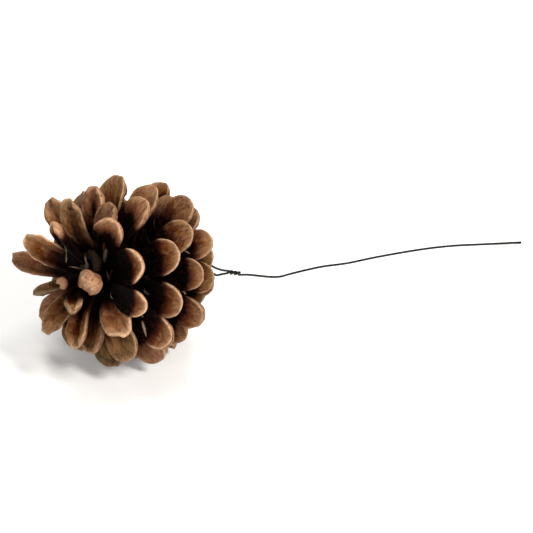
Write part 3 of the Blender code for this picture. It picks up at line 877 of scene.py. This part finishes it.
def makeScraps():
    # a point is start + run * length + across * half width + up * thickness; the half width swells and tapers
    # as a sine with a ragged edge, and the middle line is bent by a parabola
    form = scrapForm
    scraps = planScraps()
    start, end = np.array([s[0] for s in scraps]), np.array([s[1] for s in scraps])
    width, facing = np.array([s[2] for s in scraps]), np.array([s[3] for s in scraps])
    length = np.linalg.norm(end - start, axis=1)
    forward = (end - start) / length[:, None]
    side = np.cross(facing, forward)
    side /= np.linalg.norm(side, axis=1, keepdims=True)
    normal = np.cross(forward, side)
    share = np.linspace(0, 1, form["rows"])[None, :, None]
    angle = (2 * np.pi * np.arange(form["columns"]) / form["columns"])[None, None, :]
    number = np.arange(len(scraps))[:, None, None]
    ragged = 1 + 0.3 * softSteps(share * 9 + number * 3.7, np.sign(np.cos(angle)) * 2 + 9.5 + 0 * share, 55)
    half = width[:, None, None] / 2 * (0.12 + 0.88 * np.sin(np.pi * share**0.8) ** 0.7) * ragged
    across = half * np.cos(angle)
    height = form["thickness"] / 2 * np.sin(angle) * (0.4 + 0.6 * np.sin(np.pi * share))
    height = height + form["bend"] * length[:, None, None] * 4 * share * (1 - share) + 0.5 * across**2
    places = start[:, None, None] + (end - start)[:, None, None] * share[..., None]
    places = places + side[:, None, None] * across[..., None] + normal[:, None, None] * height[..., None]
    rings = form["rows"] * form["columns"]
    points = np.concatenate([closedPoints(scrap) for scrap in places])
    grain = np.zeros((len(scraps), rings + 2, 3))
    grain[:, 1:-1, 0] = across.reshape(len(scraps), rings)
    grain[:, 1:-1, 1] = (share * length[:, None, None] + 0 * angle).reshape(len(scraps), rings)
    grain[..., 2] = np.arange(len(scraps))[:, None] * 5.3
    starts = np.arange(len(scraps)) * (rings + 2)
    quads, triangles = zip(*[closedFaces(form["rows"], form["columns"], first) for first in starts])
    piece = buildMesh("wingScraps", toWorld(points), np.concatenate(quads), np.concatenate(triangles), None,
                      {"grain": grain.reshape(-1, 3)})
    piece.data.materials.append(makeWingPaper())
    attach(piece, "root")
    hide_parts("cone")
    print("stage: papery scraps,", len(scraps))


def makeWingPaper():
    # brown streaks along the fibres, with darker stains over them
    material, tree, shader = newMaterial("wingPaper", 0.55, gloss=0.3)
    wood = placeGroup(tree, woodFibre, {"Place": attributeOf(tree, "grain", "Vector"), "Fineness": 1.6})
    stained = spread(tree, wood["Mottle"], 0.45, 0.6, 0.0, 0.7)
    paper = rampOf(tree, wood["Fibre"], scrapForm["paperStops"])
    colour = mixColours(tree, stained, paper, scrapForm["stain"])
    feed(tree, shader, {"Base Color": colour, "Normal": bumpOf(tree, wood["Height"], *scrapForm["bump"])})
    return material


makeScraps()


# the axis and its stalk

axisForm = {
    # (height, radius) in mm
    "profile": [(-1.4, 1.8), (-1.0, 2.2), (1.6, 2.3), (3.2, 3.8), (6.0, 4.8), (30.0, 3.8), (38.0, 2.4),
                (38.8, 0.9)],
    "rows": 150,
    "columns": 72,
    "scarDepth": 0.30,
    "skinDepth": 0.08,
    "cutSteps": (0.93, 0.8, 0.62, 0.44, 0.28, 0.16),  # rings of the cut end, as shares of its radius
    "pith": 0.5,  # how deep the innermost ring lies
    "barkStops": [(0.3, paint(28, 12, 8)), (0.55, paint(66, 36, 22)), (0.75, paint(104, 66, 42))],
    "cutPale": paint(196, 162, 118),
    "cutDark": paint(150, 112, 74),
    "pithDark": paint(70, 42, 26),
    "bump": (0.9, 0.0002),
}


def makeAxis():
    # radius(height, turn) is the profile with its corners rounded, plus diamond scars where two families of
    # spirals cross and a rough skin; the stalk's end is closed by rings that step in towards a hollow pith
    form = axisForm
    rows, columns = form["rows"], form["columns"]
    height = np.linspace(form["profile"][0][0], form["profile"][-1][0], rows)[:, None]
    turn = 2 * np.pi * np.arange(columns)[None, :] / columns
    radius = softKnots(form["profile"], height, 0.5) + 0 * turn
    scars = np.cos(5 * turn + height * 1.35) * np.cos(8 * turn - height * 1.1)
    skin = softSteps(turn * 24 / (2 * np.pi) + 8, height / 0.7 + 5, 41)
    skin = skin + softSteps(turn * 64 / (2 * np.pi), height / 2.2 + 5, 42)
    radius = radius + form["scarDepth"] * scars * easeBetween(height, 2.0, 5.0) + form["skinDepth"] * skin
    grid = np.stack([radius * np.cos(turn), radius * np.sin(turn), height + 0 * turn], -1)
    rings = []
    for share in form["cutSteps"]:
        drop = 0.12 * math.cos(share * 40) + (form["pith"] if share == form["cutSteps"][-1] else 0.0)
        ragged = 0.12 * softSteps(turn * 10 / np.pi + 3, share * 9 + 0 * turn, 43)
        low = grid[0] * [share, share, 1]
        rings.append(low + np.stack([0 * turn[0], 0 * turn[0], (drop * 0.5 + ragged)[0]], -1))
    grid = np.concatenate([np.array(rings[::-1]), grid])
    points = closedPoints(grid)
    fromAxis = np.hypot(points[:, 0], points[:, 1])
    grain = np.stack([np.arctan2(points[:, 1], points[:, 0]) * 2.0, points[:, 2], fromAxis], -1)
    piece = buildMesh("coneAxis", toWorld(points), *closedFaces(len(grid), columns),
                      {"fromAxis": fromAxis, "up": points[:, 2]}, {"grain": grain})
    piece.data.materials.append(makeAxisWood())
    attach(piece, "root")
    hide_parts("cone")
    print("stage: axis and stalk")


def makeAxisWood():
    # dark bark, and on the cut end year rings as a sine of the distance from the axis round a dark pith
    material, tree, shader = newMaterial("axisWood", 0.75, gloss=0.2)
    place = stretched(tree, addNode(tree, "TexCoord").outputs["Object"], (1 / mm, 1 / mm, 1 / mm))
    wood = placeGroup(tree, woodFibre, {"Place": attributeOf(tree, "grain", "Vector"), "Fineness": 1.3})
    fromAxis = attributeOf(tree, "fromAxis")
    rings = spread(tree, sums(tree, "SINE", times(tree, fromAxis, 16.0)), -1.0, 1.0)
    cut = mixColours(tree, rings, axisForm["cutDark"], axisForm["cutPale"])
    cut = mixColours(tree, spread(tree, fromAxis, 0.25, 0.55, 1.0, 0.0), cut, axisForm["pithDark"])
    atEnd = times(tree, spread(tree, attributeOf(tree, "up"), -1.25, -1.1, 1.0, 0.0),
                  spread(tree, fromAxis, 1.6, 1.75, 1.0, 0.0))
    colour = mixColours(tree, atEnd, rampOf(tree, wood["Fibre"], axisForm["barkStops"]), cut)
    dusty = placeGroup(tree, weathering, {"Colour": colour, "Amount": 0.15, "Place": place, "Size": 0.9})
    feed(tree, shader, {"Base Color": dusty["Colour"],
                        "Roughness": spread(tree, wood["Mottle"], 0.3, 0.7, 0.85, 0.6),
                        "Normal": bumpOf(tree, wood["Height"], *axisForm["bump"])})
    return material


makeAxis()


# the stem wire

wireForm = {
    # lengths in mm; points are (right, back, up) from the middle of the cone's base
    "radius": 0.35,
    "hookRadius": 2.95,
    "hookHeight": 0.4,
    "hookArc": (-60, -240),  # degrees
    "hookSteps": 10,
    "upperLeg": [(0.7, 2.0, 2.2), (1.7, 2.3, 1.0), (2.7, 1.9, -1.1), (3.6, 2.1, -2.1), (5.9, 2.0, -3.0)],
    "lowerLeg": [(1.8, -0.5, -3.1), (3.5, 0.9, -3.7), (4.2, 1.0, -4.2), (5.9, 1.7, -4.3)],
    "legSteps": 3,
    "twistStart": (7.7, 2.0, -3.7),
    "twistEnd": (11.3, 3.0, -5.0),
    "twistTurns": 1.5,
    "twistRadius": 0.4,
    "twistSteps": 14,
    "tail": [(13.5, 3.8, -5.9), (16.1, 4.7, -6.8), (20.3, 6.2, -8.3), (23.3, 7.5, -9.1), (26.3, 9.2, -9.3),
             (31.1, 11.9, -9.7), (36.5, 14.8, -10.3), (43.7, 18.3, -11.5), (50.9, 22.2, -12.3),
             (59.3, 26.6, -13.4), (67.7, 30.9, -14.7), (76.1, 34.9, -16.3), (86.3, 39.5, -18.8),
             (96.8, 44.2, -21.6)],
    "tailSteps": 4,
    "sides": 16,
    "fineSteps": 3,
    "pinch": 0.72,  # the share of the radius that the cutter leaves at both ends
    "pinchLength": 0.05,
    "steelStops": [(0.35, paint(20, 21, 21)), (0.55, paint(36, 38, 38)), (0.75, paint(54, 56, 55))],
    "drawnSteel": paint(92, 95, 94),
    "dust": paint(70, 60, 50),
    "bump": (0.5, 0.00004),
}


def smoothRun(points, steps):
    # a Catmull-Rom run through the points, all stretches at once, with a number of steps in each
    points = np.asarray(points, dtype=float)
    padded = np.concatenate([[points[0] * 2 - points[1]], points, [points[-1] * 2 - points[-2]]])
    a, b, c, d = (padded[k:len(padded) - 3 + k, None, :] for k in range(4))
    t = (np.arange(steps) / steps)[None, :, None]
    run = (2 * b + (c - a) * t + (2 * a - 5 * b + 4 * c - d) * t**2 + (3 * (b - c) + d - a) * t**3) / 2
    return np.concatenate([run.reshape(-1, 3), points[-1:]])


def twistedStrand(phase):
    # a helix round the line from the twist's start to its end
    form = wireForm
    start, end = np.array(form["twistStart"]), np.array(form["twistEnd"])
    forward = (end - start) / np.linalg.norm(end - start)
    upward = np.array([0.0, 0.0, 1.0]) - forward * forward[2]
    upward /= np.linalg.norm(upward)
    share = (np.arange(form["twistSteps"] + 1) / form["twistSteps"])[:, None]
    turn = phase + 2 * np.pi * form["twistTurns"] * share
    offset = (upward * np.cos(turn) + np.cross(forward, upward) * np.sin(turn)) * form["twistRadius"]
    return start + (end - start) * share + offset


def wireRoute():
    # along the short strand, round the eye and the hook, and out by the long strand and the tail
    form = wireForm
    turn = np.radians(np.linspace(*form["hookArc"], form["hookSteps"] + 1))
    hook, flat = form["hookRadius"], 0 * turn
    ring = np.stack([hook * np.cos(turn), hook * np.sin(turn), flat + form["hookHeight"]], -1)
    shortStrand, longStrand = twistedStrand(np.pi)[::-1], twistedStrand(0.0)
    tail = np.array(form["tail"])
    tail[-1, 2] = form["radius"] - baseMiddle[2]
    eye = np.concatenate([shortStrand[-1:], form["lowerLeg"][::-1], ring @ turned.T, form["upperLeg"],
                          longStrand[:1]])
    tail = np.concatenate([longStrand[-1:], tail])
    return np.concatenate([shortStrand[:-1], smoothRun(eye, form["legSteps"]), longStrand[1:-1],
                           smoothRun(tail, form["tailSteps"])])


def makeWire():
    # a ring of the wire's radius carried along its route; both ends are closed and a little pinched
    form = wireForm
    line = smoothRun(wireRoute(), form["fineSteps"])
    tangent = np.gradient(line, axis=0)
    tangent /= np.linalg.norm(tangent, axis=1, keepdims=True)
    normals = [np.cross(tangent[0], [0.0, 0.3, 1.0])]
    for direction in tangent[1:]:  # each ring turns no more than the route does
        carried = normals[-1] - direction * np.dot(normals[-1], direction)
        normals.append(carried / np.linalg.norm(carried))
    normals[0] /= np.linalg.norm(normals[0])
    normals = np.array(normals)
    others = np.cross(tangent, normals)
    turn = 2 * np.pi * np.arange(form["sides"]) / form["sides"]
    run = np.concatenate([[0], np.cumsum(np.linalg.norm(np.diff(line, axis=0), axis=1))])
    rings = line[:, None, :] + (normals[:, None, :] * np.cos(turn)[None, :, None]
                                + others[:, None, :] * np.sin(turn)[None, :, None]) * form["radius"]
    start = line[0] + (rings[0] - line[0]) * form["pinch"] - tangent[0] * form["pinchLength"]
    finish = line[-1] + (rings[-1] - line[-1]) * form["pinch"] + tangent[-1] * form["pinchLength"]
    rings = np.concatenate([[start], rings, [finish]])
    along = np.repeat(np.concatenate([[0], run, [run[-1]]]), form["sides"])
    along = np.concatenate([[0], along, [run[-1]]])
    roundAngle = np.concatenate([[0], np.tile(turn, len(rings)), [0]])
    grain = np.stack([np.cos(roundAngle) * form["radius"], along, np.sin(roundAngle) * form["radius"]], -1)
    places = (closedPoints(rings) + baseMiddle) * mm
    piece = buildMesh("stemWire", places, *closedFaces(len(rings), form["sides"]), None, {"grain": grain})
    piece.data.materials.append(makeWireSteel())
    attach(piece, "root")
    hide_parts("wire")
    print("stage: stem wire", round(float(run[-1]), 1), "mm long")


def makeWireSteel():
    # dark patches, brighter drawn streaks along the wire, and dust that dulls the metal where it lies
    form = wireForm
    material, tree, shader = newMaterial("annealedSteel", 0.45, 0.85)
    grain = attributeOf(tree, "grain", "Vector")
    drawn = patternOf(tree, grain, (9.0, 0.35, 9.0), 1.0, 3.0, 0.6)
    patches = patternOf(tree, grain, (1.2, 0.5, 1.2), 1.0, 4.0, 0.6, 0.4)
    colour = rampOf(tree, patches, form["steelStops"])
    colour = mixColours(tree, spread(tree, drawn, 0.55, 0.7, 0.0, 0.5), colour, form["drawnSteel"])
    dusty = placeGroup(tree, weathering, {"Colour": colour, "Dust": form["dust"], "Amount": 0.2,
                                          "Place": grain, "Size": 1.1})
    metallic = sums(tree, "SUBTRACT", 0.9, times(tree, dusty["Mask"], 1.2), clamped=True)
    feed(tree, shader, {"Base Color": dusty["Colour"], "Metallic": metallic,
                        "Roughness": spread(tree, patches, 0.3, 0.7, 0.55, 0.36),
                        "Normal": bumpOf(tree, drawn, *form["bump"])})
    return material


makeWire()
